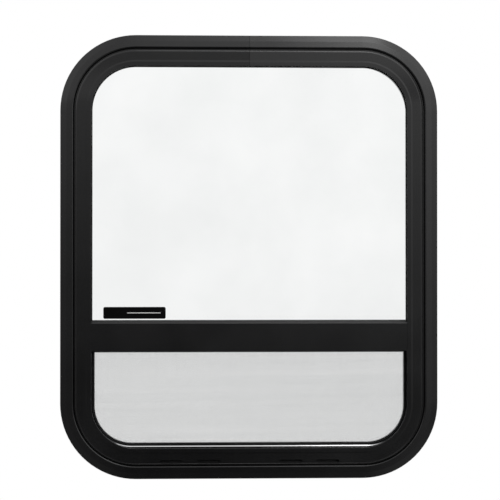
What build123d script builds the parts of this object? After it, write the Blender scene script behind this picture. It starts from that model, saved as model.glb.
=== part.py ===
# Window for a van wall: a fixed pane above a crossbar, and below it an insect screen in front of a sash.
# Millimetres. X runs to the right seen from outside, Y from outside to inside, Z up.
# The origin is at the middle of the flange's bottom run, on the face that lies against the wall.

import os

from build123d import *

# Hole in the wall, and the wall between flange and clamp ring
CUTOUT_WIDTH = 428.0
CUTOUT_HEIGHT = 508.0
CUTOUT_RADIUS = 76.0
WALL = 28.0

# Clearances that neighbours share
BODY_GAP = 1.5      # hole to frame
FIT = 0.1           # seal to seat
SLIDE = 0.25        # sash and screen to what guides them
JOINT = 0.3         # butt joint of a bent bar

# Bent bar of the main frame
FLANGE = 16.0       # overlap on the wall
RIM = 1.8           # foot of the flange that touches the wall
EDGE = 2.6          # height of the flange at its outer edge
EDGE_ROUND = 1.2
CREASE = 4.9        # height of the flange at its crease
CREASE_AT = 7.5     # outer edge to crease
CREASE_ROUND = 4.0
RIDGE = 6.2         # height of the flange beside the groove
RIDGE_ROUND = 2.4
RIDGE_SET = 0.6     # ridge lies this far outside the end of the overlap
GROOVE_SET = 1.2    # groove's floor starts this far past the end of the overlap
GROOVE_FLOOR = 4.0  # height of the groove's floor
HOLLOW_SET = 1.6    # hollow of the flange ends this far before the end of the overlap
PROUD = 9.0         # height of the face
BAND_DROP = 0.2     # band between groove and crest, below the face
BAND_SET = 0.4      # inner wall of the groove starts this far past the web
BAND_LEAN = 0.9     # inner wall of the groove leans by this much
BAND_ROUND = 2.8
CREST = 5.2         # width of the crest beside the lip, at the height of the face
CREST_RISE = 1.8    # width of the slope from the band to the crest
CREST_ROUND = 1.2
SIGHT = 38.3        # outer edge to lip
NOSE = 0.6          # radius of the lip
LIP_DROP = 4.7      # lip's end behind its radius
LIP_UNDERCUT = 1.8  # lip's end further out than its radius
SKIN = 1.8          # wall of flange, face and web
FIN = 1.4           # wall of the track fins
TRACK_ROUND = 2.0   # inner corner behind the band
FIN_BACK = 2.0      # fins end this far short of the lip
RACE = 27.0         # outer edge to the clamp screws
RACE_GAP = 3.0      # slot the screws cut into
WEEP_LENGTH = 28.0
WEEP_HEIGHT = 4.6
WEEP_AT = (50.0, 95.0)
PLATE_LENGTH = 80.0
PLATE_SET = 4.0     # joint plate to both edges of the web
PLATE_CLEAR = 0.3   # joint plate to the edge of the hole
TAPE_SET = 2.0      # foam tape ends this far before the end of the overlap

# Glass and rubber
GLASS = 4.0
GASKET = 2.4        # leg of the glazing gasket
GASKET_BASE = 3.0
GASKET_BACK = 0.7   # gasket and glazing strip end this far behind the lip
SEAL_ROUND = 0.8
RUN = 2.0           # leg and base of the sash's run channel
RUN_SHOWS = 0.4     # run channel seen past the fins
PILE_HEIGHT = 6.0
PILE_UP = 4.0       # pile seal above the crossbar's lower edge
PILE_SHORT = 2.0    # pile seal short of the fins

# Crossbar
BAR_AT = 166.0      # middle of the crossbar above the origin
BAR_HEIGHT = 38.0
BAR_ROUND = 1.2
BAR_BEVEL = 3.6
BEVEL_ROUND = 0.7
BAR_WEB = 2.0
COPE = 0.1          # crossbar laps the lip by this much

# Insect screen
SCREEN_WIDTH = 18.0
SCREEN_SHOWS = 3.4  # screen bar seen past the side lips
SCREEN_RISE = 2.4   # screen stands this far above the frame's own inset at the sill
SCREEN_TIGHT = 5.5  # screen's corner radius is smaller by this much
SCREEN_PEEK = 1.2   # screen bar seen under the crossbar
SCREEN_WALL = 0.8
SCREEN_ROUND = 1.0
STRIP = 2.2         # width of the sloping strip beside the spline
STRIP_DROP = 0.95
STRIP_ROUND = 0.5
SPLINE = 2.0
SPLINE_DEEP = 2.6   # groove's floor behind the mesh
MESH = 0.5
MESH_SET = 2.6      # back of the mesh behind the screen's front

# Sash
RAIL_HEIGHT = 18.0
RAIL_WALL = 1.2
RAIL_ROUND = 0.8
RAIL_ABOVE = 14.5   # rail's top above the middle of the crossbar
RAIL_SHORT = 1.0    # rail's end short of the lip
RUBBER = 0.45
GRIP = 4.0          # glass ends this far below the rail's top
LIP_REACH = 11.6
LIP_UPTURN = 2.4
LATCH_LENGTH = 34.0
LATCH_HEIGHT = 12.0
LATCH_DEPTH = 7.6
LATCH_DROP = 1.0    # latch's top below the rail's top
LATCH_ROUND = 1.6
TAB_AT = 10.0       # thumb tab from the latch's inner end
TAB = 4.0           # thickness and reach of the thumb tab
TAB_HEIGHT = 8.0
TAB_ROUND = 1.0
TONGUE = 8.0
TONGUE_ROOT = 2.0   # tongue inside the body of the latch
TONGUE_REACH = 4.0  # tongue into the fin
TRAVEL = 95.0       # closed to open

# Clamp ring
RING = 1.8          # floor of the screw trough
RING_RIM = 3.2      # width of the raised rims beside the trough
RING_PROUD = 2.2    # height of the rims above the trough, so that they shelter the screw heads
RING_LEAN = 0.8     # inner walls of the rims lean by this much
RING_ROUND = 1.2
RING_EDGE = 1.0     # ring's outer edge inside the flange's
RING_BACK = 3.8     # ring's inner edge behind the lip
RING_SEAT = 14.0    # width of the ring's back that lies on the wall
RING_DRAW = 0.3     # left between ring and frame, so that the ring presses on the wall
RING_LEG = 14.7     # ring's face to the end of its leg
SCREWS = 16
SCREW_HOLE = 4.2

# Outline of the flange
WIDTH = CUTOUT_WIDTH + 2 * FLANGE
HEIGHT = CUTOUT_HEIGHT + 2 * FLANGE
RADIUS = CUTOUT_RADIUS + FLANGE
RIGHT = WIDTH / 2
BOTTOM = -FLANGE / 2
TOP = BOTTOM + HEIGHT
CENTRE = (TOP + BOTTOM) / 2

# Insets from the flange's outer edge
WEB = FLANGE + BODY_GAP
FLOOR = WEB + SKIN
FIN_END = SIGHT - FIN_BACK
PANE = FLOOR + FIT + GASKET_BASE + FIT
GASKET_END = SIGHT - GASKET_BACK
RUN_END = FIN_END + RUN_SHOWS
SASH_EDGE = FLOOR + FIT + RUN + SLIDE
SCREEN_IN = SIGHT + SCREEN_SHOWS
SCREEN_OUT = SCREEN_IN - SCREEN_WIDTH

# Depths from outside to inside
FACE = -PROUD
BAND = FACE + BAND_DROP
LIP = FACE + NOSE + LIP_DROP
PANE_FRONT = LIP + FIT + GASKET
PANE_BACK = PANE_FRONT + GLASS
MID_FIN = PANE_BACK + GASKET + FIT
INNER_TRACK = MID_FIN + FIN
SASH_FRONT = INNER_TRACK + FIT + RUN + SLIDE
SASH_BACK = SASH_FRONT + GLASS
REAR_FIN = SASH_BACK + SLIDE + RUN + FIT
REAR_END = REAR_FIN + FIN

# Heights of the crossbar
BAR_LOW = BAR_AT - BAR_HEIGHT / 2
BAR_HIGH = BAR_AT + BAR_HEIGHT / 2
WEB_LOW = BAR_AT - BAR_WEB / 2
WEB_HIGH = BAR_AT + BAR_WEB / 2


def section(*corners):
    """A closed section from its corners; a third number rounds the corner."""
    shape = make_face(Polyline(*[corner[:2] for corner in corners], close=True))
    for corner in corners:
        if len(corner) == 3:
            vertex = shape.vertices().sort_by_distance((corner[0], corner[1], 0))[0]
            shape = fillet(vertex, corner[2])
    return shape


def bend(shape, *points, radius=RADIUS):
    """A bar bent round the flange's outline, clockwise seen from outside. Section in inset and depth."""
    path = Plane.XZ * FilletPolyline(*points, radius=radius)
    along = path % 0
    inward = Vector(0, 1, 0).cross(along)
    return sweep(Plane(path @ 0, x_dir=inward, z_dir=along) * shape, path)


def slab(outline, front, back):
    """A plate from an outline in X and Z, between two depths."""
    return extrude(Plane.XZ.offset(-back) * outline, back - front)


def bar(shape, half_length):
    """A straight bar along X. Section in depth and height."""
    return extrude(Plane.YZ * shape, half_length, both=True)


def box(x0, x1, y0, y1, z0, z1):
    """A block between two corners."""
    middle = Pos((x0 + x1) / 2, (y0 + y1) / 2, (z0 + z1) / 2)
    return middle * Box(x1 - x0, y1 - y0, z1 - z0)


def both_sides(shape):
    """A shape and its mirror image across the middle."""
    return shape + mirror(shape, about=Plane.YZ)


def window(inset, low, high, rise=0, radius=RADIUS):
    """The flange's outline, its bottom raised, drawn in by an inset and kept between two heights."""
    outline = RectangleRounded(WIDTH - 2 * inset, HEIGHT - rise - 2 * inset, radius - inset)
    strip = Pos(0, (low + high) / 2) * Rectangle(WIDTH, high - low)
    return (Pos(0, CENTRE + rise / 2) * outline) & strip


def under(inset):
    """Underside of the sloping flange."""
    slope = (RIDGE - EDGE) / (FLANGE - RIDGE_SET)
    return SKIN - EDGE - slope * inset


# Paths round the flange's outline, clockwise seen from outside
FROM_TOP = [
    (JOINT / 2, TOP),
    (RIGHT, TOP),
    (RIGHT, BOTTOM),
    (-RIGHT, BOTTOM),
    (-RIGHT, TOP),
    (-JOINT / 2, TOP),
]
FROM_BOTTOM = [(-x, TOP + BOTTOM - z) for x, z in FROM_TOP]


def over(low):
    """Up the left side, along the top and down the right side to a height."""
    return [(-RIGHT, low), (-RIGHT, TOP), (RIGHT, TOP), (RIGHT, low)]


def around_sill(high, low=BOTTOM):
    """Down the right side from a height, along the bottom and up the left side."""
    return [(RIGHT, high), (RIGHT, low), (-RIGHT, low), (-RIGHT, high)]


# Main frame: flange, groove, band, crest and lip, then the two tracks and the screw race on the web
frame_section = section(
    (0, 0),
    (0, -EDGE, EDGE_ROUND),
    (CREASE_AT, -CREASE, CREASE_ROUND),
    (FLANGE - RIDGE_SET, -RIDGE, RIDGE_ROUND),
    (FLANGE + GROOVE_SET, -GROOVE_FLOOR),
    (WEB + BAND_SET, -GROOVE_FLOOR),
    (WEB + BAND_SET + BAND_LEAN, BAND, BAND_ROUND),
    (SIGHT - CREST - CREST_RISE, BAND, CREST_ROUND),
    (SIGHT - CREST, FACE, CREST_ROUND),
    (SIGHT, FACE, NOSE),
    (SIGHT, FACE + NOSE + FIT),
    (SIGHT - LIP_UNDERCUT, LIP),
    (SIGHT - LIP_UNDERCUT - SKIN, LIP),
    (SIGHT - LIP_UNDERCUT - SKIN, BAND + SKIN),
    (FLOOR, BAND + SKIN, TRACK_ROUND),
    (FLOOR, MID_FIN),
    (FIN_END, MID_FIN),
    (FIN_END, INNER_TRACK),
    (FLOOR, INNER_TRACK),
    (FLOOR, REAR_FIN),
    (FIN_END, REAR_FIN),
    (FIN_END, REAR_END),
    (RACE + RACE_GAP / 2 + FIN, REAR_END),
    (RACE + RACE_GAP / 2 + FIN, WALL),
    (RACE + RACE_GAP / 2, WALL),
    (RACE + RACE_GAP / 2, REAR_END),
    (RACE - RACE_GAP / 2, REAR_END),
    (RACE - RACE_GAP / 2, WALL),
    (RACE - RACE_GAP / 2 - FIN, WALL),
    (RACE - RACE_GAP / 2 - FIN, REAR_END),
    (FLOOR, REAR_END),
    (FLOOR, WALL),
    (WEB, WALL),
    (WEB, SKIN - GROOVE_FLOOR),
    (FLANGE - GROOVE_SET, SKIN - GROOVE_FLOOR),
    (FLANGE - HOLLOW_SET, under(FLANGE - HOLLOW_SET)),
    (RIM, under(RIM)),
    (RIM, 0),
)
main_frame = bend(frame_section, *FROM_TOP)

# Weep slots through the bottom of the band, level with the floor of the outer track
weep = slab(SlotOverall(WEEP_LENGTH, WEEP_HEIGHT), BAND - FIT, BAND + SKIN + FIT)
for x in WEEP_AT:
    main_frame -= both_sides(Pos(x, 0, BOTTOM + FLOOR + WEEP_HEIGHT / 2) * weep)

# Notches in the rear fin, where the latches hold the sash closed and open
RAIL_TOP = BAR_AT + RAIL_ABOVE
RAIL_LOW = RAIL_TOP - RAIL_HEIGHT
LATCH_AT = RAIL_TOP - LATCH_DROP - LATCH_HEIGHT / 2
NOTCH = TONGUE / 2 + 2 * SLIDE
NOTCH_X = RIGHT - FIN_END
for z in (LATCH_AT, LATCH_AT + TRAVEL):
    main_frame -= both_sides(box(
        NOTCH_X - FIT,
        NOTCH_X + TONGUE_REACH + 2 * SLIDE,
        REAR_FIN - FIT,
        REAR_END + FIT,
        z - NOTCH,
        z + NOTCH,
    ))

# Splice behind the butt joint, on the side of the web that faces the hole
frame_joint_plate = box(
    -PLATE_LENGTH / 2,
    PLATE_LENGTH / 2,
    PLATE_SET,
    WALL - PLATE_SET,
    TOP - WEB,
    TOP - WEB + BODY_GAP - PLATE_CLEAR,
)

# Foam tape that fills the hollow back of the flange
tape_section = section(
    (RIM + FIT, 0),
    (RIM + FIT, under(RIM + FIT) + FIT),
    (FLANGE - TAPE_SET, under(FLANGE - TAPE_SET) + FIT),
    (FLANGE - TAPE_SET, 0),
)
wall_seal = bend(tape_section, *FROM_TOP)

# Fixed glass, standing in the crossbar and held round the other sides by a rubber gasket
fixed_glass = slab(window(PANE, WEB_HIGH + FIT + GASKET_BASE + FIT, TOP), PANE_FRONT, PANE_BACK)
gasket_section = section(
    (FLOOR + FIT, LIP + FIT),
    (GASKET_END, LIP + FIT, SEAL_ROUND),
    (GASKET_END, PANE_FRONT),
    (PANE - FIT, PANE_FRONT),
    (PANE - FIT, PANE_BACK),
    (FIN_END, PANE_BACK),
    (FIN_END, MID_FIN - FIT, SEAL_ROUND),
    (FLOOR + FIT, MID_FIN - FIT),
)
fixed_glass_gasket = bend(gasket_section, *over(WEB_HIGH + FIT))

# Crossbar: an H-shaped bar with a lip above for the glass and one below for the screen
bar_section = section(
    (FACE, BAR_LOW, BAR_ROUND),
    (FACE, BAR_HIGH - BAR_BEVEL, BEVEL_ROUND),
    (FACE + BAR_BEVEL, BAR_HIGH, BEVEL_ROUND),
    (LIP, BAR_HIGH),
    (LIP, BAR_HIGH - SKIN),
    (FACE + BAR_BEVEL + SKIN / 2, BAR_HIGH - SKIN),
    (FACE + SKIN, BAR_HIGH - BAR_BEVEL - SKIN / 2),
    (FACE + SKIN, WEB_HIGH),
    (MID_FIN, WEB_HIGH),
    (MID_FIN, BAR_HIGH),
    (INNER_TRACK, BAR_HIGH),
    (INNER_TRACK, BAR_LOW),
    (MID_FIN, BAR_LOW),
    (MID_FIN, WEB_LOW),
    (FACE + SKIN, WEB_LOW),
    (FACE + SKIN, BAR_LOW + SKIN),
    (LIP, BAR_LOW + SKIN),
    (LIP, BAR_LOW),
)
crossbar = bar(bar_section, RIGHT - FLOOR - FIT)
# The ends are coped: the face laps the round lip and the web enters the outer track
lip_shape = section(
    (RIGHT, FACE - FIT),
    (RIGHT, LIP + FIT),
    (RIGHT - SIGHT - FIT, LIP + FIT),
    (RIGHT - SIGHT - FIT, FACE - FIT, NOSE + FIT),
)
beyond_cope = section(
    (RIGHT, FACE - FIT),
    (RIGHT, LIP + FIT),
    (RIGHT - SIGHT + COPE, LIP + FIT),
    (RIGHT - SIGHT + COPE, FACE - FIT),
)
past_fin = section(
    (RIGHT, MID_FIN - FIT),
    (RIGHT, INNER_TRACK + FIT),
    (RIGHT - FIN_END - FIT, INNER_TRACK + FIT),
    (RIGHT - FIN_END - FIT, MID_FIN - FIT),
)
for waste in (lip_shape, beyond_cope, past_fin):
    crossbar -= both_sides(extrude(Plane.XY.offset(BAR_LOW - FIT) * waste, BAR_HEIGHT + 2 * FIT))

# Glazing strip between the side legs of the gasket, in the crossbar's upper channel
strip_section = section(
    (LIP + FIT, WEB_HIGH + FIT),
    (LIP + FIT, BAR_HIGH - GASKET_BACK, SEAL_ROUND),
    (PANE_FRONT, BAR_HIGH - GASKET_BACK),
    (PANE_FRONT, WEB_HIGH + FIT + GASKET_BASE),
    (PANE_BACK, WEB_HIGH + FIT + GASKET_BASE),
    (PANE_BACK, BAR_HIGH - GASKET_BACK),
    (MID_FIN - FIT, BAR_HIGH - GASKET_BACK, SEAL_ROUND),
    (MID_FIN - FIT, WEB_HIGH + FIT),
)
crossbar_glazing_strip = bar(strip_section, RIGHT - GASKET_END - FIT)

# Pile seal on the back of the crossbar, brushing the sash glass
crossbar_pile_seal = box(
    FIN_END + PILE_SHORT - RIGHT,
    RIGHT - FIN_END - PILE_SHORT,
    INNER_TRACK,
    SASH_FRONT - FIT,
    BAR_LOW + PILE_UP,
    BAR_LOW + PILE_UP + PILE_HEIGHT,
)

# Screen: a hollow bar with a sloping strip and a groove for the spline, mitred at the crossbar
SCREEN_FRONT = LIP + SLIDE
SCREEN_BACK = MID_FIN - SLIDE
SCREEN_LOW = BAR_LOW - SCREEN_PEEK
SCREEN_HIGH = SCREEN_LOW + SCREEN_WIDTH
GROOVE = SPLINE + 2 * FIT
GROOVE_IN = SCREEN_WIDTH - SCREEN_WALL
GROOVE_OUT = GROOVE_IN - GROOVE
MESH_BACK = SCREEN_FRONT + MESH_SET
GROOVE_DEEP = MESH_BACK + SPLINE_DEEP
screen_section = section(
    (0, SCREEN_FRONT, SCREEN_ROUND),
    (GROOVE_OUT - STRIP, SCREEN_FRONT, SCREEN_ROUND),
    (GROOVE_OUT, SCREEN_FRONT + STRIP_DROP, STRIP_ROUND),
    (GROOVE_OUT, GROOVE_DEEP),
    (GROOVE_IN, GROOVE_DEEP),
    (GROOVE_IN, MESH_BACK),
    (SCREEN_WIDTH, MESH_BACK),
    (SCREEN_WIDTH, SCREEN_BACK, SCREEN_ROUND),
    (0, SCREEN_BACK, SCREEN_ROUND),
)
screen_hollow = section(
    (SCREEN_WALL, SCREEN_FRONT + SCREEN_WALL),
    (GROOVE_OUT - STRIP, SCREEN_FRONT + SCREEN_WALL),
    (GROOVE_OUT - SCREEN_WALL, SCREEN_FRONT + STRIP_DROP + SCREEN_WALL),
    (GROOVE_OUT - SCREEN_WALL, SCREEN_BACK - SCREEN_WALL),
    (SCREEN_WALL, SCREEN_BACK - SCREEN_WALL),
)
screen_bar = screen_section - screen_hollow
SCREEN_SILL = BOTTOM + SCREEN_RISE
SCREEN_RADIUS = RADIUS - SCREEN_TIGHT
mitre = make_face(Polyline(
    (SCREEN_OUT - RIGHT, SCREEN_HIGH),
    (RIGHT - SCREEN_OUT, SCREEN_HIGH),
    (RIGHT - SCREEN_IN, SCREEN_LOW),
    (SCREEN_IN - RIGHT, SCREEN_LOW),
    close=True,
))
top_run = slab(mitre, SCREEN_FRONT - FIT, SCREEN_BACK + FIT)
screen_frame = bend(
    Pos(SCREEN_OUT, 0) * screen_bar, *around_sill(SCREEN_HIGH, SCREEN_SILL), radius=SCREEN_RADIUS
)
screen_frame -= top_run
top_plane = Plane((0, 0, SCREEN_HIGH), x_dir=(0, 0, -1), z_dir=(1, 0, 0))
screen_top_rail = extrude(top_plane * screen_bar, RIGHT, both=True) & top_run

# Spline cord pressed into the groove all round
SPLINE_AT = SCREEN_OUT + (GROOVE_OUT + GROOVE_IN) / 2
SPLINE_TOP = SCREEN_HIGH - (GROOVE_OUT + GROOVE_IN) / 2
cord_path = Plane.XZ.offset(-(GROOVE_DEEP - SPLINE / 2)) * FilletPolyline(
    (RIGHT - SPLINE_AT, SPLINE_TOP),
    (RIGHT - SPLINE_AT, SCREEN_SILL + SPLINE_AT),
    (SPLINE_AT - RIGHT, SCREEN_SILL + SPLINE_AT),
    (SPLINE_AT - RIGHT, SPLINE_TOP),
    radius=(GROOVE / 2, SCREEN_RADIUS - SPLINE_AT, SCREEN_RADIUS - SPLINE_AT, GROOVE / 2),
    close=True,
)
screen_spline = sweep(Plane(cord_path @ 0, z_dir=cord_path % 0) * Circle(SPLINE / 2), cord_path)

# Woven mesh, here as a thin sheet on the inner edge of the screen bar
MESH_EDGE = SCREEN_OUT + GROOVE_IN + FIT
screen_mesh = slab(
    window(MESH_EDGE, BOTTOM, SCREEN_HIGH - GROOVE_IN - FIT, SCREEN_RISE, SCREEN_RADIUS),
    MESH_BACK - MESH,
    MESH_BACK,
)

# Sash: glass, a rail that grips its top edge through rubber, and the channel that it slides in
sash_glass = slab(window(SASH_EDGE, BOTTOM, RAIL_TOP - GRIP), SASH_FRONT, SASH_BACK)
RAIL_FRONT = SASH_FRONT - RUBBER - FIT - RAIL_WALL
RAIL_BACK = SASH_BACK + RUBBER + FIT + RAIL_WALL
RAIL_END = RIGHT - SIGHT - RAIL_SHORT
rail_section = section(
    (RAIL_FRONT, RAIL_LOW),
    (RAIL_FRONT, RAIL_TOP, RAIL_ROUND),
    (RAIL_BACK, RAIL_TOP, RAIL_ROUND),
    (RAIL_BACK, RAIL_LOW + RAIL_WALL),
    (RAIL_BACK + LIP_REACH - RAIL_WALL, RAIL_LOW + RAIL_WALL),
    (RAIL_BACK + LIP_REACH - RAIL_WALL, RAIL_LOW + RAIL_WALL + LIP_UPTURN),
    (RAIL_BACK + LIP_REACH, RAIL_LOW + RAIL_WALL + LIP_UPTURN),
    (RAIL_BACK + LIP_REACH, RAIL_LOW, RAIL_ROUND),
    (RAIL_BACK - RAIL_WALL, RAIL_LOW),
    (RAIL_BACK - RAIL_WALL, RAIL_TOP - RAIL_WALL),
    (RAIL_FRONT + RAIL_WALL, RAIL_TOP - RAIL_WALL),
    (RAIL_FRONT + RAIL_WALL, RAIL_LOW),
)
sash_top_rail = bar(rail_section, RAIL_END)
rubber_section = section(
    (SASH_FRONT - RUBBER, RAIL_LOW),
    (SASH_FRONT - RUBBER, RAIL_TOP - RAIL_WALL - FIT),
    (SASH_BACK + RUBBER, RAIL_TOP - RAIL_WALL - FIT),
    (SASH_BACK + RUBBER, RAIL_LOW),
    (SASH_BACK, RAIL_LOW),
    (SASH_BACK, RAIL_TOP - GRIP + FIT),
    (SASH_FRONT, RAIL_TOP - GRIP + FIT),
    (SASH_FRONT, RAIL_LOW),
)
sash_rail_rubber = bar(rubber_section, RAIL_END)
run_section = section(
    (FLOOR + FIT, INNER_TRACK + FIT),
    (RUN_END, INNER_TRACK + FIT, SEAL_ROUND),
    (RUN_END, INNER_TRACK + FIT + RUN),
    (FLOOR + FIT + RUN, INNER_TRACK + FIT + RUN),
    (FLOOR + FIT + RUN, REAR_FIN - FIT - RUN),
    (RUN_END, REAR_FIN - FIT - RUN),
    (RUN_END, REAR_FIN - FIT, SEAL_ROUND),
    (FLOOR + FIT, REAR_FIN - FIT),
)
sash_run_channel = bend(run_section, *around_sill(TOP - RADIUS))

# Latches on the ends of the rail: body, thumb tab, and a tongue in the notch of the rear fin
LATCH_X = RAIL_END - LATCH_LENGTH
LATCH_BACK = RAIL_BACK + LATCH_DEPTH
body = box(
    LATCH_X,
    RAIL_END,
    RAIL_BACK,
    LATCH_BACK,
    LATCH_AT - LATCH_HEIGHT / 2,
    LATCH_AT + LATCH_HEIGHT / 2,
)
tab = box(
    LATCH_X + TAB_AT - TAB / 2,
    LATCH_X + TAB_AT + TAB / 2,
    LATCH_BACK,
    LATCH_BACK + TAB,
    LATCH_AT - TAB_HEIGHT / 2,
    LATCH_AT + TAB_HEIGHT / 2,
)
tongue = box(
    RAIL_END - TONGUE_ROOT,
    NOTCH_X + TONGUE_REACH,
    REAR_FIN + FIT,
    REAR_END - FIT,
    LATCH_AT - TONGUE / 2,
    LATCH_AT + TONGUE / 2,
)
body = fillet(body.edges().group_by(Axis.Y)[-1], LATCH_ROUND)
tab = fillet(tab.edges().group_by(Axis.Y)[-1], TAB_ROUND)
sash_latch_right = body + tab + tongue
sash_latch_left = mirror(sash_latch_right, about=Plane.YZ)

# Clamp ring: a trough for the screws between two raised rims, and a leg that hides the tracks
RING_IN = SIGHT - RING_BACK
RING_FLOOR = WALL + RING
RING_FACE = RING_FLOOR + RING_PROUD
ring_section = section(
    (RING_EDGE, WALL),
    (RING_EDGE, RING_FACE, RING_ROUND),
    (RING_EDGE + RING_RIM, RING_FACE, RING_ROUND),
    (RING_EDGE + RING_RIM + RING_LEAN, RING_FLOOR),
    (RING_IN - RING_RIM - RING_LEAN, RING_FLOOR),
    (RING_IN - RING_RIM, RING_FACE, RING_ROUND),
    (RING_IN, RING_FACE, RING_ROUND),
    (RING_IN, RING_FACE - RING_LEG),
    (RING_IN - FIN, RING_FACE - RING_LEG),
    (RING_IN - FIN, WALL + RING_DRAW),
    (RING_EDGE + RING_SEAT, WALL + RING_DRAW),
    (RING_EDGE + RING_SEAT, WALL),
)
clamp_ring = bend(ring_section, *FROM_BOTTOM)

# Holes for the clamp screws, over the race of the main frame
across = (RIGHT - RACE) / RIGHT
upward = (HEIGHT / 2 - RACE) / (HEIGHT / 2)
race_corners = [(x * across, CENTRE + (z - CENTRE) * upward) for x, z in FROM_BOTTOM]
screw_line = FilletPolyline(*race_corners, radius=RADIUS - RACE)
screw_hole = slab(Circle(SCREW_HOLE / 2), WALL, RING_FLOOR + FIT)
for n in range(SCREWS):
    spot = screw_line @ ((n + 0.5) / SCREWS)
    clamp_ring -= Pos(spot.X, 0, spot.Y) * screw_hole

os.makedirs("parts", exist_ok=True)
pieces = {
    "main_frame": main_frame,
    "frame_joint_plate": frame_joint_plate,
    "wall_seal": wall_seal,
    "fixed_glass": fixed_glass,
    "fixed_glass_gasket": fixed_glass_gasket,
    "crossbar": crossbar,
    "crossbar_glazing_strip": crossbar_glazing_strip,
    "crossbar_pile_seal": crossbar_pile_seal,
    "screen_frame": screen_frame,
    "screen_top_rail": screen_top_rail,
    "screen_spline": screen_spline,
    "screen_mesh": screen_mesh,
    "sash_glass": sash_glass,
    "sash_top_rail": sash_top_rail,
    "sash_rail_rubber": sash_rail_rubber,
    "sash_run_channel": sash_run_channel,
    "sash_latch_left": sash_latch_left,
    "sash_latch_right": sash_latch_right,
    "clamp_ring": clamp_ring,
}
for name, shape in pieces.items():
    export_step(shape, f"parts/{name}.step")
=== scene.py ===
import math

import bmesh
import bpy
from mathutils import Matrix, Vector


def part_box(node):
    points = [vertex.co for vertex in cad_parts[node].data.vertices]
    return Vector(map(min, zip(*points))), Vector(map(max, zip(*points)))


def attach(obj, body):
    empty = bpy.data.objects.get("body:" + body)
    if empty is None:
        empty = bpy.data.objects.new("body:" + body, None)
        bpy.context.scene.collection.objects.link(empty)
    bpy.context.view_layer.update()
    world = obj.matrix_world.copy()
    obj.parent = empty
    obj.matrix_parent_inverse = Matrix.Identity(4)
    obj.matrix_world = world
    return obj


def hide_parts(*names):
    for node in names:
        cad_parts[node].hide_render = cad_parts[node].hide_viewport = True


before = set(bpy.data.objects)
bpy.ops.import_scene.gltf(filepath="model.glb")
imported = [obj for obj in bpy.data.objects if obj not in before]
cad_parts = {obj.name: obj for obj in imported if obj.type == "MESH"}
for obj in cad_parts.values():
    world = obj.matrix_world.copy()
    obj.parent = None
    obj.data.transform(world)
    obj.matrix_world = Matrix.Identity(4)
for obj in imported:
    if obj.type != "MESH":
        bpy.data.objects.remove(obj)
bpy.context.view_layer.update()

MM = 0.001


# Main frame: one extruded aluminium bar, bent round the window and butt jointed at the top middle.
# It is powder coated satin black, so its skin has a fine orange peel and a slightly uneven gloss.
# At the joint the two ends of the bar are turned a little out of line.
def new_finish(name):
    """A material, its node tree and its main shader."""
    material = bpy.data.materials.new(name)
    material.use_nodes = True
    return material, material.node_tree, material.node_tree.nodes["Principled BSDF"]


def add_node(tree, kind, inputs=None, **settings):
    """A node with its settings, and with numbers or links on its inputs."""
    node = tree.nodes.new(kind)
    for key, value in settings.items():
        setattr(node, key, value)
    for key, value in (inputs or {}).items():
        if isinstance(value, bpy.types.NodeSocket):
            tree.links.new(value, node.inputs[key])
        else:
            node.inputs[key].default_value = value
    return node


def calculate(tree, operation, *values):
    """One step of arithmetic with numbers or links."""
    return add_node(tree, "ShaderNodeMath", dict(enumerate(values)), operation=operation).outputs[0]


def spread(tree, value, start, end, low=0.0, high=1.0, ease="LINEAR"):
    """A value between a start and an end, spread from low to high."""
    return add_node(tree, "ShaderNodeMapRange", {
        "Value": value,
        "From Min": start,
        "From Max": end,
        "To Min": low,
        "To Max": high,
    }, interpolation_type=ease).outputs["Result"]


def noise(tree, place, cells, detail):
    """Noise with so many cells in a unit of place."""
    inputs = {"Vector": place, "Scale": cells, "Detail": detail}
    return add_node(tree, "ShaderNodeTexNoise", inputs).outputs["Fac"]


def tint(tree, shader, value, dark, light):
    """A base colour between two, by a value from 0 to 1."""
    ramp = add_node(tree, "ShaderNodeValToRGB", {"Fac": value})
    ramp.color_ramp.elements[0].color = (*dark, 1)
    ramp.color_ramp.elements[1].color = (*light, 1)
    tree.links.new(ramp.outputs["Color"], shader.inputs["Base Color"])


def emboss(tree, shader, height, depth):
    """A bump of a real depth on a shader."""
    bump = add_node(tree, "ShaderNodeBump", {"Height": height, "Distance": depth, "Strength": 1.0})
    tree.links.new(bump.outputs["Normal"], shader.inputs["Normal"])


def new_effect(name, numbers, results):
    """A shader node group with named numbers going in and values coming out."""
    tree = bpy.data.node_groups.new(name, "ShaderNodeTree")
    for label, value in numbers.items():
        socket = tree.interface.new_socket(label, in_out="INPUT", socket_type="NodeSocketFloat")
        socket.default_value = value
    for label in results:
        tree.interface.new_socket(label, in_out="OUTPUT", socket_type="NodeSocketFloat")
    return tree, tree.nodes.new("NodeGroupInput").outputs, tree.nodes.new("NodeGroupOutput").inputs


CLOUDS_PER_METRE = 14.0
SPECKS_PER_METRE = 420.0
CLOUD_LEVELS = (0.3, 0.7)
TONE_LEVELS = (0.1, 0.42)


def coated_skin():
    """Sprayed, baked or moulded skin: fine waves, an uneven gloss and cloudy patches of tone."""
    tree, numbers, results = new_effect(
        "coated_skin",
        {"Waves per metre": 900.0, "Roughest": 0.42, "Smoothest": 0.34},
        ("Height", "Roughness", "Tone"),
    )
    place = add_node(tree, "ShaderNodeTexCoord").outputs["Object"]
    waves = noise(tree, place, numbers["Waves per metre"], detail=1.0)
    clouds = noise(tree, place, CLOUDS_PER_METRE, detail=4.0)
    specks = noise(tree, place, SPECKS_PER_METRE, detail=3.0)
    gloss = spread(tree, clouds, *CLOUD_LEVELS, numbers["Smoothest"], numbers["Roughest"])
    tone = spread(tree, calculate(tree, "MULTIPLY", clouds, specks), *TONE_LEVELS)
    tree.links.new(waves, results["Height"])
    tree.links.new(gloss, results["Roughness"])
    tree.links.new(tone, results["Tone"])
    return tree


skin = coated_skin()


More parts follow.
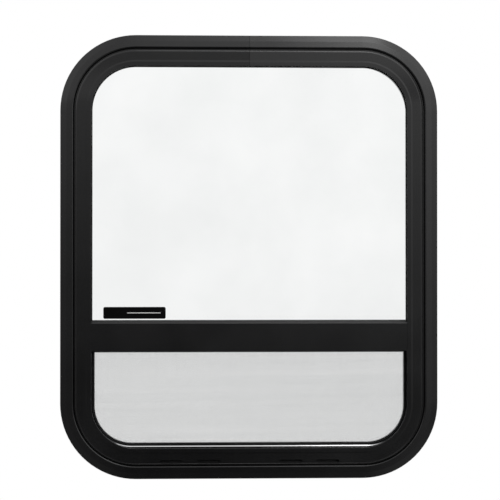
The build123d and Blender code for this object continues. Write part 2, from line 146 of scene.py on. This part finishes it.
def coat(name, dark, light, waves, smoothest, roughest, depth, shine):
    """A coated or moulded finish."""
    material, tree, shader = new_finish(name)
    numbers = {"Waves per metre": waves, "Smoothest": smoothest, "Roughest": roughest}
    surface = add_node(tree, "ShaderNodeGroup", numbers, node_tree=skin).outputs
    tint(tree, shader, surface["Tone"], dark, light)
    tree.links.new(surface["Roughness"], shader.inputs["Roughness"])
    emboss(tree, shader, surface["Height"], depth)
    shader.inputs["Specular IOR Level"].default_value = shine
    return material


def dress(node, material):
    """Puts a finish on a piece of the frame."""
    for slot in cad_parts[node].material_slots:
        slot.material = material


TOP_RUN = 520 * MM
END_TILT = math.radians(1.5)
TILT_FADES = (70 * MM, 20 * MM)


def twist_ends(material):
    """Turns the two ends of the bent bar a little out of line, so that they catch the light differently."""
    tree = material.node_tree
    shader = tree.nodes["Principled BSDF"]
    waves = shader.inputs["Normal"].links[0].from_socket
    place = add_node(tree, "ShaderNodeTexCoord").outputs["Object"]
    split = add_node(tree, "ShaderNodeSeparateXYZ", {"Vector": place}).outputs
    below = calculate(tree, "SUBTRACT", TOP_RUN, split["Z"])
    lean = calculate(tree, "MULTIPLY", below, calculate(tree, "SIGN", split["X"]))
    straight = spread(tree, below, *TILT_FADES, ease="SMOOTHSTEP")
    bump = add_node(tree, "ShaderNodeBump", {
        "Height": calculate(tree, "MULTIPLY", lean, straight),
        "Distance": math.tan(END_TILT),
        "Strength": 1.0,
        "Normal": waves,
    })
    tree.links.new(bump.outputs["Normal"], shader.inputs["Normal"])


SATIN_BLACK = {
    "dark": (0.002, 0.002, 0.0022),
    "light": (0.0045, 0.0045, 0.0048),
    "waves": 900.0,
    "smoothest": 0.19,
    "roughest": 0.25,
    "depth": 0.000008,
    "shine": 0.4,
}
frame_coat = coat("frame_coat", **SATIN_BLACK)
twist_ends(frame_coat)
dress("main_frame", frame_coat)
powder_coat = coat("powder_coat", **SATIN_BLACK)


# Joint plate: a strip of bare aluminium that splices the two ends of the bent bar.
# It is cut from sheet with a brushed face and held by four flat blind rivets.
LINES_ACROSS = 2600.0
LINES_ALONG = 30.0
LINE_SHADE = 0.82
LINE_DEPTH = 0.000006


def stretched_noise(tree, cells, detail):
    """Noise with its own number of cells a metre along each axis."""
    place = add_node(tree, "ShaderNodeTexCoord").outputs["Object"]
    stretched = add_node(tree, "ShaderNodeMapping", {"Vector": place, "Scale": cells}).outputs["Vector"]
    return noise(tree, stretched, 1.0, detail)


def brushed_metal(name, colour, along, smoothest, roughest):
    """Bare metal with fine lines along an axis."""
    material, tree, shader = new_finish(name)
    lines = [LINES_ACROSS] * 3
    lines[along] = LINES_ALONG
    scratches = stretched_noise(tree, lines, detail=3.0)
    tint(tree, shader, scratches, [channel * LINE_SHADE for channel in colour], colour)
    tree.links.new(spread(tree, scratches, 0.0, 1.0, smoothest, roughest), shader.inputs["Roughness"])
    emboss(tree, shader, scratches, LINE_DEPTH)
    shader.inputs["Metallic"].default_value = 1.0
    return material


def new_piece(name, mesh, material):
    """A finished mesh as a piece that rides on the window."""
    data = bpy.data.meshes.new(name)
    bmesh.ops.recalc_face_normals(mesh, faces=mesh.faces)
    mesh.to_mesh(data)
    mesh.free()
    data.materials.append(material)
    piece = bpy.data.objects.new(name, data)
    bpy.context.scene.collection.objects.link(piece)
    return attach(piece, "root")


bare_aluminium = brushed_metal(
    "bare_aluminium", colour=(0.72, 0.72, 0.73), along=0, smoothest=0.3, roughest=0.5
)
dress("frame_joint_plate", bare_aluminium)

RIVET_RADIUS = 2.4 * MM
RIVET_PROUD = 0.24 * MM
RIVET_SLOPE = RIVET_RADIUS * 0.4
RIVET_LAND = RIVET_RADIUS * 0.25
RIVET_HOLE_WALL = RIVET_RADIUS * 0.04
RIVET_HOLE_DEEP = RIVET_PROUD * 0.6
RIVET_INSET = 9 * MM
RIVET_SIDES = 20
plate_low, plate_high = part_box("frame_joint_plate")
plate_middle = (plate_low + plate_high) / 2
rivets = bmesh.new()
for x in (plate_low.x + RIVET_INSET, -RIVET_INSET, RIVET_INSET, plate_high.x - RIVET_INSET):
    head = bmesh.ops.create_circle(
        rivets,
        cap_ends=True,
        segments=RIVET_SIDES,
        radius=RIVET_RADIUS,
        matrix=Matrix.Translation((x, plate_middle.y, plate_high.z)),
    )["verts"]
    face = head[0].link_faces[0]
    bmesh.ops.inset_region(rivets, faces=[face], use_boundary=True, thickness=RIVET_SLOPE, depth=RIVET_PROUD)
    bmesh.ops.inset_region(rivets, faces=[face], thickness=RIVET_LAND, depth=0)
    bmesh.ops.inset_region(rivets, faces=[face], thickness=RIVET_HOLE_WALL, depth=-RIVET_HOLE_DEEP)
new_piece("joint_plate_rivets", rivets, bare_aluminium)


# Wall seal: closed-cell foam tape stuck in the hollow back of the flange, pressed by the wall.
# The foam is dark grey and dull, with open cells where it was cut.
FOAM_CELLS_PER_METRE = 1500.0
FOAM_CELL_DEPTH = 0.0003
foam, tree, shader = new_finish("foam")
place = add_node(tree, "ShaderNodeTexCoord").outputs["Object"]
voronoi = add_node(tree, "ShaderNodeTexVoronoi", {"Vector": place, "Scale": FOAM_CELLS_PER_METRE})
cells = voronoi.outputs["Distance"]
tint(tree, shader, cells, (0.03, 0.03, 0.03), (0.12, 0.12, 0.12))
emboss(tree, shader, cells, FOAM_CELL_DEPTH)
shader.inputs["Roughness"].default_value = 0.95
dress("wall_seal", foam)


# Fixed glass: one clear toughened pane that stands in the crossbar, with arched edges ground smooth.
# The glass is a little green, and dried water leaves a faint cloud on it.
CLEAN_GLASS = (0.995, 1.0, 0.998)


def clear_glass(name, clouded, patches):
    """Clear glass that lets lamp light through, with so many patches of dried water a metre."""
    material, tree, shader = new_finish(name)
    cloud = stretched_noise(tree, patches, detail=3.0)
    tint(tree, shader, cloud, clouded, CLEAN_GLASS)
    shader.inputs["Roughness"].default_value = 0.0
    shader.inputs["IOR"].default_value = 1.52
    shader.inputs["Transmission Weight"].default_value = 1.0
    shadow = add_node(tree, "ShaderNodeLightPath").outputs["Is Shadow Ray"]
    through = add_node(tree, "ShaderNodeBsdfTransparent", {"Color": (0.9, 0.93, 0.92, 1)})
    mix = add_node(tree, "ShaderNodeMixShader", {0: shadow, 1: shader.outputs[0], 2: through.outputs[0]})
    tree.links.new(mix.outputs[0], tree.nodes["Material Output"].inputs["Surface"])
    return material


glass = clear_glass("glass", clouded=(0.82, 0.835, 0.832), patches=(9.0, 9.0, 9.0))
dress("fixed_glass", glass)


# Glazing gasket and strip: extruded black rubber, folded round the pane before it goes into the track.
# The rubber is dull, with a pale bloom in patches and fine extrusion marks.
rubber = coat(
    "rubber",
    dark=(0.006, 0.006, 0.006),
    light=(0.018, 0.018, 0.018),
    waves=2600.0,
    smoothest=0.5,
    roughest=0.68,
    depth=0.00003,
    shine=0.3,
)
dress("fixed_glass_gasket", rubber)
dress("crossbar_glazing_strip", rubber)


# Gasket lip: the feather edge of the glazing gasket, seen past the frame as a thin black line that is partly
# black rubber and partly painted shade.
# It lies on the outer face of the pane on three sides and ends behind the edge of the crossbar.
FRAME_CORNER = 92.0 * MM
FRAME_SIGHT = 38.3 * MM
LIP_HIDDEN = 0.9 * MM
LIP_SHOWS = 0.7 * MM
LIP_ROOT = 1.4 * MM
LIP_EDGE = 0.4 * MM
LIP_BEHIND = 0.6 * MM
LIP_CLEAR = 0.02 * MM
CORNER_STEPS = 24
QUARTER_TURN = math.pi / 2
frame_low, frame_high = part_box("main_frame")
lip_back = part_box("fixed_glass")[0].y - LIP_CLEAR
lip_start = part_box("crossbar")[1].z - LIP_BEHIND
lip_outer = frame_low.x + FRAME_SIGHT - LIP_HIDDEN
lip_inner = frame_low.x + FRAME_SIGHT + LIP_SHOWS
corner_left = Vector((frame_low.x + FRAME_CORNER, 0, frame_high.z - FRAME_CORNER))
corner_right = Vector((frame_high.x - FRAME_CORNER, 0, frame_high.z - FRAME_CORNER))
lip_rise = Vector((0, 0, corner_left.z - lip_start))
lip = bmesh.new()
lip_section = [lip.verts.new(point) for point in (
    (lip_outer, lip_back, lip_start),
    (lip_outer, lip_back - LIP_ROOT, lip_start),
    (lip_inner, lip_back - LIP_EDGE, lip_start),
    (lip_inner, lip_back, lip_start),
)]
lip_end = [lip.faces.new(lip_section)]
for centre, turn, shift, steps in (
    (corner_left, 0, lip_rise, 1),
    (corner_left, QUARTER_TURN, Vector(), CORNER_STEPS),
    (corner_left, 0, corner_right - corner_left, 1),
    (corner_right, QUARTER_TURN, Vector(), CORNER_STEPS),
    (corner_right, 0, -lip_rise, 1),
):
    lip_end = bmesh.ops.spin(
        lip, geom=lip_end, cent=centre, axis=(0, 1, 0), angle=turn, dvec=shift, steps=steps
    )["geom_last"]
# Painted shade: the lip's rubber is darker and duller than the gasket's own rubber, standing in for the
# shadow of the frame's lip along the sight edge.
lip_rubber_painted_shade = coat(
    "lip_rubber_painted_shade",
    dark=(0.001, 0.001, 0.001),
    light=(0.003, 0.003, 0.003),
    waves=2600.0,
    smoothest=0.45,
    roughest=0.6,
    depth=0.00001,
    shine=0.1,
)
new_piece("fixed_glass_gasket_lip", lip, lip_rubber_painted_shade)


# Joint sealant: a bead of black sealant that keeps rain out of the butt joint of the bent bar.
# It is pressed into the slit and wiped off just below the face of the flange.
SEALANT_WIDTH = 0.28 * MM
SEALANT_DEEP = 1.9 * MM
SEALANT_HEIGHT = 8.5 * MM
SEALANT_SET = 0.5 * MM
SEALANT_BACK = 0.2 * MM
bead = bmesh.new()
bead_middle = Vector((0, -SEALANT_DEEP / 2 - SEALANT_BACK, frame_high.z - SEALANT_SET - SEALANT_HEIGHT / 2))
bead_size = (SEALANT_WIDTH, SEALANT_DEEP, SEALANT_HEIGHT, 1)
bmesh.ops.create_cube(bead, size=1, matrix=Matrix.Translation(bead_middle) @ Matrix.Diagonal(bead_size))
new_piece("frame_joint_sealant", bead, rubber)


# Crossbar: an extruded aluminium bar, coped over the lips of the frame and coated with it.
# It carries the fixed glass above and closes the insect screen below.
dress("crossbar", powder_coat)


# Pile seal: a strip of woven polypropylene pile on the back of the crossbar that brushes the sash.
# The fibres stand from the strip in dense rows.
FIBRES_PER_METRE = (3500.0, 200.0, 900.0)
FIBRE_DEPTH = 0.0004
pile, tree, shader = new_finish("pile")
fibres = stretched_noise(tree, FIBRES_PER_METRE, detail=2.0)
tint(tree, shader, fibres, (0.03, 0.03, 0.03), (0.2, 0.2, 0.2))
emboss(tree, shader, fibres, FIBRE_DEPTH)
shader.inputs["Roughness"].default_value = 0.9
shader.inputs["Sheen Weight"].default_value = 0.4
dress("crossbar_pile_seal", pile)


# Insect screen: a roll-formed bar round the sides and sill and a straight bar on top, mitred together.
# The bar is black anodised, a bright strip along the sill is a painted highlight, and a rubber cord holds the
# mesh.
SCREEN_CORNER = 62.8 * MM
HIGHLIGHT_INSET = 13.85 * MM
HIGHLIGHT_WIDTH = 0.6 * MM
HIGHLIGHT_SOFT = 0.35 * MM
HIGHLIGHT_ENDS = 166 * MM
HIGHLIGHT_FADES = 22 * MM
ANODISED_SKIN = {"Waves per metre": 1800.0, "Smoothest": 0.1, "Roughest": 0.16}
ANODISED_WAVE_DEPTH = 0.000004


def vector_step(tree, operation, *values):
    """One step of arithmetic with vectors, which puts out a vector or a value."""
    return add_node(tree, "ShaderNodeVectorMath", dict(enumerate(values)), operation=operation).outputs


screen_low, screen_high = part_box("screen_frame")
corner_shift = (SCREEN_CORNER - screen_high.x, 0, SCREEN_CORNER + screen_low.z)
anodised, tree, shader = new_finish("black_anodised")
surface = add_node(tree, "ShaderNodeGroup", ANODISED_SKIN, node_tree=skin).outputs
place = add_node(tree, "ShaderNodeTexCoord").outputs["Object"]
# Painted highlight: a bright metal strip on the bar along the sill, fading round the lower corners where the
# up-facing sill turns away from the light above.
mirrored = vector_step(tree, "ABSOLUTE", place)["Vector"]
from_corner = vector_step(tree, "MULTIPLY_ADD", mirrored, (1, 0, -1), corner_shift)["Vector"]
outward = vector_step(tree, "MAXIMUM", from_corner, (0, 0, 0))["Vector"]
reach = vector_step(tree, "LENGTH", outward)["Value"]
beside = calculate(tree, "SUBTRACT", reach, SCREEN_CORNER - HIGHLIGHT_INSET)
distance = calculate(tree, "ABSOLUTE", beside)
line = spread(tree, distance, HIGHLIGHT_WIDTH / 2 + HIGHLIGHT_SOFT, HIGHLIGHT_WIDTH / 2, ease="SMOOTHSTEP")
sideways = add_node(tree, "ShaderNodeSeparateXYZ", {"Vector": mirrored}).outputs["X"]
length = spread(tree, sideways, HIGHLIGHT_ENDS, HIGHLIGHT_ENDS - HIGHLIGHT_FADES, ease="SMOOTHSTEP")
painted_highlight = calculate(tree, "MULTIPLY", line, length)
# The strip's bright metal colour is the painted highlight; the rest of the bar is black anodised.
tint(tree, shader, painted_highlight, (0.015, 0.015, 0.016), (0.62, 0.62, 0.625))
tree.links.new(surface["Roughness"], shader.inputs["Roughness"])
emboss(tree, shader, surface["Height"], ANODISED_WAVE_DEPTH)
shader.inputs["Metallic"].default_value = 1.0
dress("screen_frame", anodised)
dress("screen_top_rail", anodised)
dress("screen_spline", rubber)


# Screen mesh: glass yarn coated in charcoal vinyl, woven and fused where the threads cross.
# It is cut to the bar and pressed into the groove, so every thread runs from edge to edge.
THREAD = 0.19 * MM
THREAD_SHIFT = THREAD * 0.3
THREAD_SIDES = 6
THREADS_PER_INCH = 24
INCH = 25.4 * MM
MESH_CORNER = 45.5 * MM
STREAKS_PER_METRE = (4.0, 4.0, 160.0)
mesh_low, mesh_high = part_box("screen_mesh")
mesh_face = (mesh_low.y + mesh_high.y) / 2
corner_x = mesh_high.x - MESH_CORNER
corner_z = mesh_low.z + MESH_CORNER


def corner_reach(past):
    """How far the round corner reaches, at a distance past its centre."""
    return math.sqrt(max(MESH_CORNER**2 - max(past, 0) ** 2, 0))


def thread(mesh, start, end):
    """One straight thread between two points."""
    middle = (start + end) / 2
    turn = (end - start).to_track_quat("Z", "Y").to_matrix().to_4x4()
    bmesh.ops.create_cone(
        mesh,
        cap_ends=True,
        segments=THREAD_SIDES,
        radius1=THREAD / 2,
        radius2=THREAD / 2,
        depth=(end - start).length,
        matrix=Matrix.Translation(middle) @ turn,
    )


threads = bmesh.new()
upright_count = int((mesh_high.x - mesh_low.x) / INCH * THREADS_PER_INCH)
for n in range(upright_count):
    x = mesh_low.x + (n + 0.5) * (mesh_high.x - mesh_low.x) / upright_count
    y = mesh_face - THREAD_SHIFT
    low_end = corner_z - corner_reach(abs(x) - corner_x)
    thread(threads, Vector((x, y, low_end)), Vector((x, y, mesh_high.z)))
level_count = int((mesh_high.z - mesh_low.z) / INCH * THREADS_PER_INCH)
for n in range(level_count):
    z = mesh_low.z + (n + 0.5) * (mesh_high.z - mesh_low.z) / level_count
    y = mesh_face + THREAD_SHIFT
    right_end = corner_x + corner_reach(corner_z - z)
    thread(threads, Vector((-right_end, y, z)), Vector((right_end, y, z)))

vinyl, tree, shader = new_finish("vinyl_thread")
streaks = stretched_noise(tree, STREAKS_PER_METRE, detail=3.0)
tint(tree, shader, streaks, (0.03, 0.03, 0.032), (0.12, 0.12, 0.125))
shader.inputs["Roughness"].default_value = 0.45
mesh_piece = new_piece("screen_mesh_threads", threads, vinyl)
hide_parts("screen_mesh")


# Sash: a clear pane that slides up behind the fixed one, gripped along its top by a coated rail.
# A rubber strip beds the glass in the rail, and the pane runs in a flocked channel round three sides.
sash_glass = clear_glass("sash_glass", clouded=(0.88, 0.892, 0.89), patches=(1.2, 1.2, 70.0))
dress("sash_glass", sash_glass)
dress("sash_top_rail", powder_coat)
dress("sash_rail_rubber", rubber)

FLOCK_PER_METRE = 3200.0
FLOCK_DEPTH = 0.0002
flock, tree, shader = new_finish("flock")
place = add_node(tree, "ShaderNodeTexCoord").outputs["Object"]
nap = noise(tree, place, FLOCK_PER_METRE, detail=2.0)
tint(tree, shader, nap, (0.006, 0.006, 0.006), (0.035, 0.035, 0.035))
emboss(tree, shader, nap, FLOCK_DEPTH)
shader.inputs["Roughness"].default_value = 0.95
shader.inputs["Sheen Weight"].default_value = 0.5
dress("sash_run_channel", flock)


# Latches: two moulded nylon blocks on the ends of the rail, with a thumb tab and a sprung tongue.
# The moulding has a fine spark-eroded grain.
nylon = coat(
    "nylon",
    dark=(0.012, 0.012, 0.013),
    light=(0.024, 0.024, 0.026),
    waves=3400.0,
    smoothest=0.42,
    roughest=0.55,
    depth=0.00004,
    shine=0.4,
)
dress("sash_latch_left", nylon)
dress("sash_latch_right", nylon)


# Clamp ring: a coated aluminium ring on the inner side that draws the frame against the wall.
# Sixteen blackened pan-head screws with cross recesses lie in its trough.
dress("clamp_ring", powder_coat)

SCREW_COUNT = 16
SCREW_INSET = 26.0 * MM
SCREW_CORNER = 65.0 * MM
TROUGH_DEEP = 2.2 * MM
HEAD_RADIUS = 3.4 * MM
HEAD_SIDES = 24
# Steps of a head from its rim, inwards and up, and radii of its recess round a quarter turn, in millimetres
HEAD_STEPS = ((0.0, 0.9), (0.3, 0.5), (0.6, 0.35), (0.6, 0.15))
RECESS = (1.7, 1.76, 0.9, 0.64, 0.9, 1.76)
RECESS_RIM = 0.05 * MM
RECESS_DEEP = 1.1 * MM
ring_low, ring_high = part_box("clamp_ring")
trough = ring_high.y - TROUGH_DEEP


def screw_spot(share):
    """A place on the screw line, at a share of its length from the middle of its bottom run."""
    half = ring_high.x - SCREW_INSET - SCREW_CORNER
    tall = ring_high.z - ring_low.z - 2 * (SCREW_INSET + SCREW_CORNER)
    arc = SCREW_CORNER * QUARTER_TURN
    way = share * (4 * (half + arc) + 2 * tall)
    spot = Vector((0, ring_low.z + SCREW_INSET))
    ahead = Vector((-1, 0))
    for straight in (half, tall, 2 * half, tall, half):
        if way <= straight:
            break
        way -= straight
        spot += ahead * straight
        inward = Vector((ahead.y, -ahead.x))
        if way <= arc:
            turn = way / SCREW_CORNER
            return spot + SCREW_CORNER * (ahead * math.sin(turn) + inward * (1 - math.cos(turn)))
        way -= arc
        spot += SCREW_CORNER * (ahead + inward)
        ahead = inward
    return spot + ahead * way


def pan_head(mesh, middle):
    """One screw head with a cross recess, facing inwards."""
    turn = Matrix.Rotation(-QUARTER_TURN, 4, "X")
    rim = bmesh.ops.create_circle(
        mesh, cap_ends=True, segments=HEAD_SIDES, radius=HEAD_RADIUS, matrix=Matrix.Translation(middle) @ turn
    )["verts"]
    face = rim[0].link_faces[0]
    for inset, rise in HEAD_STEPS:
        bmesh.ops.inset_region(mesh, faces=[face], use_boundary=True, thickness=inset * MM, depth=rise * MM)
    bmesh.ops.inset_region(mesh, faces=[face], thickness=RECESS_RIM, depth=0)
    for n, vertex in enumerate(face.verts):
        out = vertex.co - middle
        level = Vector((out.x, 0, out.z))
        wanted = RECESS[n % len(RECESS)] * MM
        vertex.co += level * (wanted / level.length - 1)
    bmesh.ops.inset_region(mesh, faces=[face], thickness=0, depth=-RECESS_DEEP)


screws = bmesh.new()
for n in range(SCREW_COUNT):
    spot = screw_spot((n + 0.5) / SCREW_COUNT)
    pan_head(screws, Vector((spot.x, trough, spot.y)))
blackened = brushed_metal("blackened_steel", colour=(0.2, 0.2, 0.205), along=1, smoothest=0.3, roughest=0.45)
new_piece("clamp_ring_screws", screws, blackened)


# Label: a plain black film on the outer face of the fixed glass, near its lower left corner.
# It is cut from vinyl with rounded corners and carries a thin pale rule.
LABEL_LEFT = -177.8 * MM
LABEL_LOW = 186.7 * MM
LABEL_LENGTH = 75.7 * MM
LABEL_HEIGHT = 14.4 * MM
LABEL_THICK = 0.12 * MM
LABEL_ROUND = 2.0 * MM
LABEL_STEPS = 5
label_middle = Vector((
    LABEL_LEFT + LABEL_LENGTH / 2,
    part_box("fixed_glass")[0].y - LABEL_THICK / 2,
    LABEL_LOW + LABEL_HEIGHT / 2,
))
label_size = (LABEL_LENGTH, LABEL_THICK, LABEL_HEIGHT, 1)
film = bmesh.new()
bmesh.ops.create_cube(film, size=1, matrix=Matrix.Translation(label_middle) @ Matrix.Diagonal(label_size))
corners = [edge for edge in film.edges if abs(edge.verts[0].co.y - edge.verts[1].co.y) > LABEL_THICK / 2]
bmesh.ops.bevel(
    film, geom=corners, offset=LABEL_ROUND, affect="EDGES", segments=LABEL_STEPS, profile=0.5, material=-1
)
vinyl_film = coat(
    "vinyl_film",
    dark=(0.0008, 0.0008, 0.0008),
    light=(0.0016, 0.0016, 0.0016),
    waves=700.0,
    smoothest=0.12,
    roughest=0.2,
    depth=0.000005,
    shine=0.15,
)
new_piece("label_film", film, vinyl_film)

RULE_FROM = 0.385
RULE_TO = 0.92
RULE_HEIGHT = 1.0 * MM
RULE_THICK = 0.02 * MM
rule_middle = Vector((
    LABEL_LEFT + LABEL_LENGTH * (RULE_FROM + RULE_TO) / 2,
    label_middle.y - (LABEL_THICK + RULE_THICK) / 2,
    label_middle.z,
))
rule_size = (LABEL_LENGTH * (RULE_TO - RULE_FROM), RULE_THICK, RULE_HEIGHT, 1)
rule = bmesh.new()
bmesh.ops.create_cube(rule, size=1, matrix=Matrix.Translation(rule_middle) @ Matrix.Diagonal(rule_size))
print_white = coat(
    "print_white",
    dark=(0.5, 0.5, 0.49),
    light=(0.68, 0.68, 0.67),
    waves=1500.0,
    smoothest=0.4,
    roughest=0.5,
    depth=0.000005,
    shine=0.4,
)
new_piece("label_rule", rule, print_white)


# Stage: a plain pale floor, a white backdrop and soft studio light from above, in front and to the right.
# The backdrop is white to the camera, to glass and to gloss, and the room on the camera's side is dim.
FLOOR_DROP = 1.1
FLOOR_RADIUS = 0.7
FLOOR_SIDES = 96
FLOOR_FADES = (FLOOR_RADIUS * 0.2, FLOOR_RADIUS * 0.75)
floor_mesh = bmesh.new()
bmesh.ops.create_circle(
    floor_mesh,
    cap_ends=True,
    segments=FLOOR_SIDES,
    radius=FLOOR_RADIUS,
    matrix=Matrix.Translation((0, 0, -FLOOR_DROP)),
)
floor_data = bpy.data.meshes.new("floor")
floor_mesh.to_mesh(floor_data)
floor_mesh.free()
floor = bpy.data.objects.new("floor", floor_data)
bpy.context.scene.collection.objects.link(floor)
pale, tree, shader = new_finish("pale_floor")
shader.inputs["Base Color"].default_value = (0.84, 0.84, 0.83, 1)
shader.inputs["Roughness"].default_value = 0.8
place = add_node(tree, "ShaderNodeTexCoord").outputs["Object"]
level = vector_step(tree, "MULTIPLY", place, (1, 1, 0))["Vector"]
from_middle = vector_step(tree, "LENGTH", level)["Value"]
fade = spread(tree, from_middle, *FLOOR_FADES, ease="SMOOTHSTEP")
clear = add_node(tree, "ShaderNodeBsdfTransparent").outputs[0]
mix = add_node(tree, "ShaderNodeMixShader", {0: fade, 1: shader.outputs[0], 2: clear})
tree.links.new(mix.outputs[0], tree.nodes["Material Output"].inputs["Surface"])
floor_data.materials.append(pale)

# Light of the room by direction: where each part starts and ends, and its strength at both
CEILING = (-0.075, 0.2, 0.015, 1.4)
CEILING_LEAN = 0.09
CEILING_LEAN_FROM = -0.08
GROUND = (-0.2, -0.7, 0.0, 0.1)
LOW_WALLS = (0.02, 0.3, 0.0, 0.24)
LOW_WALL_TOP = (-0.01, -0.12)
RIGHT_SIDE = (-0.15, 0.45, 0.65, 1.5)
LEFT_SIDE = (-0.15, -0.6, 0.0, 0.3)
FAR_RIGHT = (0.64, 0.8, 0.0, -1.3)
BACKDROP = (0.0, 0.3)
world = bpy.data.worlds.new("studio")
world.use_nodes = True
bpy.context.scene.world = world
tree = world.node_tree
direction = add_node(tree, "ShaderNodeTexCoord").outputs["Generated"]
split = add_node(tree, "ShaderNodeSeparateXYZ", {"Vector": direction}).outputs
lean = calculate(tree, "MAXIMUM", split["X"], CEILING_LEAN_FROM)
ceiling = spread(tree, calculate(tree, "MULTIPLY_ADD", lean, CEILING_LEAN, split["Z"]), *CEILING)
ground = spread(tree, split["Z"], *GROUND)
low_walls = spread(tree, calculate(tree, "ABSOLUTE", split["X"]), *LOW_WALLS)
below = calculate(tree, "MULTIPLY_ADD", spread(tree, split["Z"], *LOW_WALL_TOP), low_walls, ground)
height = calculate(tree, "ADD", ceiling, below)
right_side = spread(tree, split["X"], *RIGHT_SIDE)
left_side = spread(tree, split["X"], *LEFT_SIDE)
far_right = spread(tree, split["X"], *FAR_RIGHT)
sides = calculate(tree, "ADD", calculate(tree, "ADD", right_side, left_side), far_right)
room = calculate(tree, "MULTIPLY", height, sides)
backdrop = spread(tree, split["Y"], *BACKDROP, ease="SMOOTHSTEP")
path = add_node(tree, "ShaderNodeLightPath").outputs
seen = calculate(tree, "MAXIMUM", path["Is Camera Ray"], path["Is Transmission Ray"])
white = calculate(tree, "MAXIMUM", seen, backdrop)
strength = add_node(tree, "ShaderNodeMix", {"Factor": white, "A": room, "B": 1.0}).outputs["Result"]
background = tree.nodes["Background"]
background.inputs["Color"].default_value = (1, 1, 1, 1)
tree.links.new(strength, background.inputs["Strength"])


def softbox(name, middle, aim, width, height, watts):
    """A soft lamp that faces a point."""
    data = bpy.data.lights.new(name, "AREA")
    data.shape = "RECTANGLE"
    data.size = width
    data.size_y = height
    data.energy = watts
    lamp = bpy.data.objects.new(name, data)
    lamp.location = middle
    lamp.rotation_euler = (Vector(aim) - Vector(middle)).to_track_quat("-Z", "Y").to_euler()
    lamp.visible_camera = False
    bpy.context.scene.collection.objects.link(lamp)


softbox("right_softbox", middle=(0.53, -1.75, 1.95), aim=(0, 0, 0.3), width=0.55, height=0.9, watts=6)
softbox("key_lamp", middle=(0.33, -1.2, 3.2), aim=(0.1, 0, 0.5), width=0.9, height=0.7, watts=12)
bpy.context.scene.view_settings.view_transform = "Standard"


# Camera: square on to the outer face, two degrees to the left of it and level with its middle.
# Its lens is long and stands nearly two metres away, so the perspective is weak.
CAMERA_DISTANCE = 1.8
CAMERA_AZIMUTH = math.radians(-1.986)
CAMERA_ELEVATION = math.radians(-0.373)
CAMERA_AIM = Vector((0.6 * MM, 0, 270.4 * MM))
CAMERA_LENS = 106.2
CAMERA_SENSOR = 36
back = Vector((
    math.sin(CAMERA_AZIMUTH) * math.cos(CAMERA_ELEVATION),
    -math.cos(CAMERA_AZIMUTH) * math.cos(CAMERA_ELEVATION),
    math.sin(CAMERA_ELEVATION),
))
camera_data = bpy.data.cameras.new("camera")
camera_data.lens = CAMERA_LENS
camera_data.sensor_width = CAMERA_SENSOR
camera = bpy.data.objects.new("camera", camera_data)
camera.location = CAMERA_AIM + CAMERA_DISTANCE * back
camera.rotation_mode = "QUATERNION"
camera.rotation_quaternion = (-back).to_track_quat("-Z", "Y")
bpy.context.scene.collection.objects.link(camera)
bpy.context.scene.camera = camera
